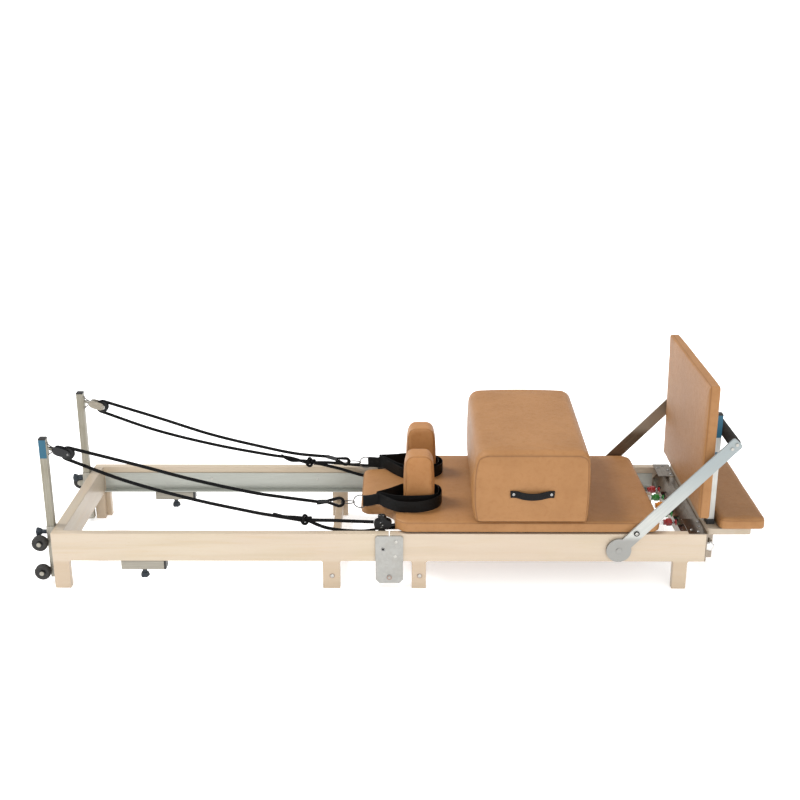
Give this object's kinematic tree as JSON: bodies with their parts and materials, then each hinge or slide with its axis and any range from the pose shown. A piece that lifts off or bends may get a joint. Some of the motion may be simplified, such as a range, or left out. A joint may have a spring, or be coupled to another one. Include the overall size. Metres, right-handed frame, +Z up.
{
  "type": "folding pilates reformer",
  "caption": "Low folding exercise bed: a sprung, padded carriage on a maple frame that folds in half, with rope pulleys, shoulder rests, a foot bar, a jump board and a sitting box.",
  "frame": {"origin": "on the floor, under the middle of the whole length and width", "axes": "+X towards the foot end with the foot bar, +Y to the right of someone who lies on their back with their head at the rope end, +Z up"},
  "size_m": [2.5856, 0.6792, 0.755],
  "materials": {
    "aluminium": "satin anodised",
    "black_plastic": "black nylon",
    "foam": "matt closed-cell foam",
    "green": "steel spring with a green lacquered handle",
    "maple": "pale clear-lacquered maple",
    "plywood": "sealed plywood",
    "red": "steel spring with a red lacquered handle",
    "slate_plastic": "slate nylon",
    "stainless": "bright stainless steel",
    "steel": "warm grey plated tube",
    "tyre": "dark grey rubber",
    "vinyl": "tan upholstery vinyl with a fine grain",
    "webbing": "black woven polyester",
    "yellow": "steel spring with a yellow lacquered handle",
    "zinc": "galvanised steel"
  },
  "bodies": {
    "foot_frame": {"foot_rail_near": "maple", "foot_rail_far": "maple", "foot_beam": "maple", "foot_track_near": "aluminium", "foot_track_far": "aluminium", "foot_hinge_plate_near": "zinc", "foot_hinge_plate_far": "zinc", "foot_end_bracket": "stainless", "platform_board": "maple", "platform_pad": "vinyl", "spring_1": "red", "spring_2": "green", "spring_3": "yellow", "spring_4": "green", "spring_5": "red"},
    "head_frame": {"head_rail_near": "maple", "head_rail_far": "maple", "head_beam": "maple", "head_stretcher": "maple", "head_track_near": "aluminium", "head_track_far": "aluminium", "head_hinge_plate_near": "zinc", "head_hinge_plate_far": "zinc", "post_socket_near": "steel", "post_socket_far": "steel", "storage_sleeve_near": "steel", "storage_sleeve_far": "steel", "rope_near": "webbing", "rope_far": "webbing"},
    "carriage": {"carriage_pad": "vinyl", "carriage_chassis": "plywood", "strap_near": "webbing", "strap_far": "webbing"},
    "sitting_box": {"sitting_box": "vinyl"},
    "foot_bar": {"foot_bar": "aluminium", "foam_grip": "foam"},
    "jump_board": {"jump_frame": "steel", "jump_pad": "vinyl"},
    "rope_ends": {"rope_hook_near": "stainless", "rope_hook_far": "stainless"},
    "carriage_axle_1": {"carriage_axle_1": "black_plastic"},
    "carriage_axle_2": {"carriage_axle_2": "black_plastic"},
    "post_near": {"post_near": "steel"},
    "pulley_near": {"pulley_block_near": "black_plastic"},
    "sheave_near": {"sheave_near": "black_plastic"},
    "shoulder_rest_near": {"shoulder_rest_near": "vinyl"},
    "transport_wheel_near_1": {"transport_wheel_near_1": "tyre"},
    "transport_wheel_near_2": {"transport_wheel_near_2": "tyre"},
    "post_knob_near": {"post_knob_near": "slate_plastic"},
    "storage_knob_near": {"storage_knob_near": "slate_plastic"},
    "jump_knob_near": {"jump_knob_near": "stainless"},
    "post_far": {"post_far": "steel"},
    "pulley_far": {"pulley_block_far": "black_plastic"},
    "sheave_far": {"sheave_far": "black_plastic"},
    "shoulder_rest_far": {"shoulder_rest_far": "vinyl"},
    "transport_wheel_far_1": {"transport_wheel_far_1": "tyre"},
    "transport_wheel_far_2": {"transport_wheel_far_2": "tyre"},
    "post_knob_far": {"post_knob_far": "slate_plastic"},
    "storage_knob_far": {"storage_knob_far": "slate_plastic"},
    "jump_knob_far": {"jump_knob_far": "stainless"}
  },
  "joints": [
    {"name": "fold", "type": "hinge", "parent": "foot_frame", "child": "head_frame", "pos_m": [-0.02025, 0, 0.048], "axis": [0, -1, 0], "range_deg": [0, 180]},
    {"name": "carriage_slide", "type": "slide", "parent": "foot_frame", "child": "carriage", "axis": [1, 0, 0], "range_m": [-0.72, 0], "stiffness_N_per_m": 700, "deforming": ["spring_1", "spring_2", "spring_3", "spring_4", "spring_5", "rope_near", "rope_far"]},
    {"name": "rope_bend", "type": "hinge", "parent": "carriage", "child": "rope_ends", "pos_m": [-0.02025, 0, 0.048], "axis": [0, -1, 0], "range_deg": [0, 180], "deforming": ["strap_near", "strap_far"]},
    {"name": "axle_1_turn", "type": "hinge", "parent": "carriage", "child": "carriage_axle_1", "pos_m": [0.10975, 0, 0.1403], "axis": [0, 1, 0], "continuous": true},
    {"name": "axle_2_turn", "type": "hinge", "parent": "carriage", "child": "carriage_axle_2", "pos_m": [0.80975, 0, 0.1403], "axis": [0, 1, 0], "continuous": true},
    {"name": "foot_bar_tilt", "type": "hinge", "parent": "foot_frame", "child": "foot_bar", "pos_m": [0.78575, 0, 0.155], "axis": [0, 1, 0], "range_deg": [0, 45]},
    {"name": "jump_board_lift", "type": "slide", "parent": "foot_frame", "child": "jump_board", "axis": [0, 0, 1], "range_m": [0, 0.25]},
    {"name": "sitting_box_lift", "type": "slide", "parent": "carriage", "child": "sitting_box", "axis": [0, 0, 1], "range_m": [0, 0.3]},
    {"name": "post_near_height", "type": "slide", "parent": "head_frame", "child": "post_near", "axis": [0, 0, 1], "range_m": [-0.04, 0.06]},
    {"name": "pulley_near_swivel", "type": "hinge", "parent": "post_near", "child": "pulley_near", "pos_m": [-1.20025, -0.25, 0.504], "axis": [0.309, 0, 0.9511], "range_deg": [-35, 35]},
    {"name": "sheave_near_turn", "type": "hinge", "parent": "pulley_near", "child": "sheave_near", "pos_m": [-1.14128, -0.25, 0.48484], "axis": [0, 1, 0], "continuous": true},
    {"name": "shoulder_rest_near_lift", "type": "slide", "parent": "carriage", "child": "shoulder_rest_near", "axis": [0, 0, 1], "range_m": [0, 0.12]},
    {"name": "transport_wheel_near_1_turn", "type": "hinge", "parent": "head_frame", "child": "transport_wheel_near_1", "pos_m": [-1.26375, -0.2815, 0.155], "axis": [0, 1, 0], "continuous": true},
    {"name": "transport_wheel_near_2_turn", "type": "hinge", "parent": "head_frame", "child": "transport_wheel_near_2", "pos_m": [-1.26375, -0.2815, 0.042], "axis": [0, 1, 0], "continuous": true},
    {"name": "post_knob_near_turn", "type": "hinge", "parent": "head_frame", "child": "post_knob_near", "pos_m": [-1.22675, -0.25, 0.186], "axis": [1, 0, 0], "continuous": true},
    {"name": "storage_knob_near_turn", "type": "hinge", "parent": "head_frame", "child": "storage_knob_near", "pos_m": [-0.89175, -0.306, 0.0737], "axis": [0, 0, 1], "continuous": true},
    {"name": "jump_knob_near_turn", "type": "hinge", "parent": "foot_frame", "child": "jump_knob_near", "pos_m": [1.11675, -0.25, 0.148], "axis": [0, 1, 0], "continuous": true},
    {"name": "post_far_height", "type": "slide", "parent": "head_frame", "child": "post_far", "axis": [0, 0, 1], "range_m": [-0.04, 0.06]},
    {"name": "pulley_far_swivel", "type": "hinge", "parent": "post_far", "child": "pulley_far", "pos_m": [-1.20025, 0.25, 0.504], "axis": [0.309, 0, 0.9511], "range_deg": [-35, 35]},
    {"name": "sheave_far_turn", "type": "hinge", "parent": "pulley_far", "child": "sheave_far", "pos_m": [-1.14128, 0.25, 0.48484], "axis": [0, 1, 0], "continuous": true},
    {"name": "shoulder_rest_far_lift", "type": "slide", "parent": "carriage", "child": "shoulder_rest_far", "axis": [0, 0, 1], "range_m": [0, 0.12]},
    {"name": "transport_wheel_far_1_turn", "type": "hinge", "parent": "head_frame", "child": "transport_wheel_far_1", "pos_m": [-1.26375, 0.2815, 0.155], "axis": [0, 1, 0], "continuous": true},
    {"name": "transport_wheel_far_2_turn", "type": "hinge", "parent": "head_frame", "child": "transport_wheel_far_2", "pos_m": [-1.26375, 0.2815, 0.042], "axis": [0, 1, 0], "continuous": true},
    {"name": "post_knob_far_turn", "type": "hinge", "parent": "head_frame", "child": "post_knob_far", "pos_m": [-1.22675, 0.25, 0.186], "axis": [1, 0, 0], "continuous": true},
    {"name": "storage_knob_far_turn", "type": "hinge", "parent": "head_frame", "child": "storage_knob_far", "pos_m": [-0.89175, 0.306, 0.0737], "axis": [0, 0, 1], "continuous": true},
    {"name": "jump_knob_far_turn", "type": "hinge", "parent": "foot_frame", "child": "jump_knob_far", "pos_m": [1.11675, 0.25, 0.148], "axis": [0, 1, 0], "continuous": true}
  ],
  "couplings": [
    {"joint": "rope_bend", "follows": "fold", "ratio": 1},
    {"joint": "axle_1_turn", "follows": "carriage_slide", "rad_per_m": 50},
    {"joint": "axle_2_turn", "follows": "carriage_slide", "rad_per_m": 50}
  ]
}
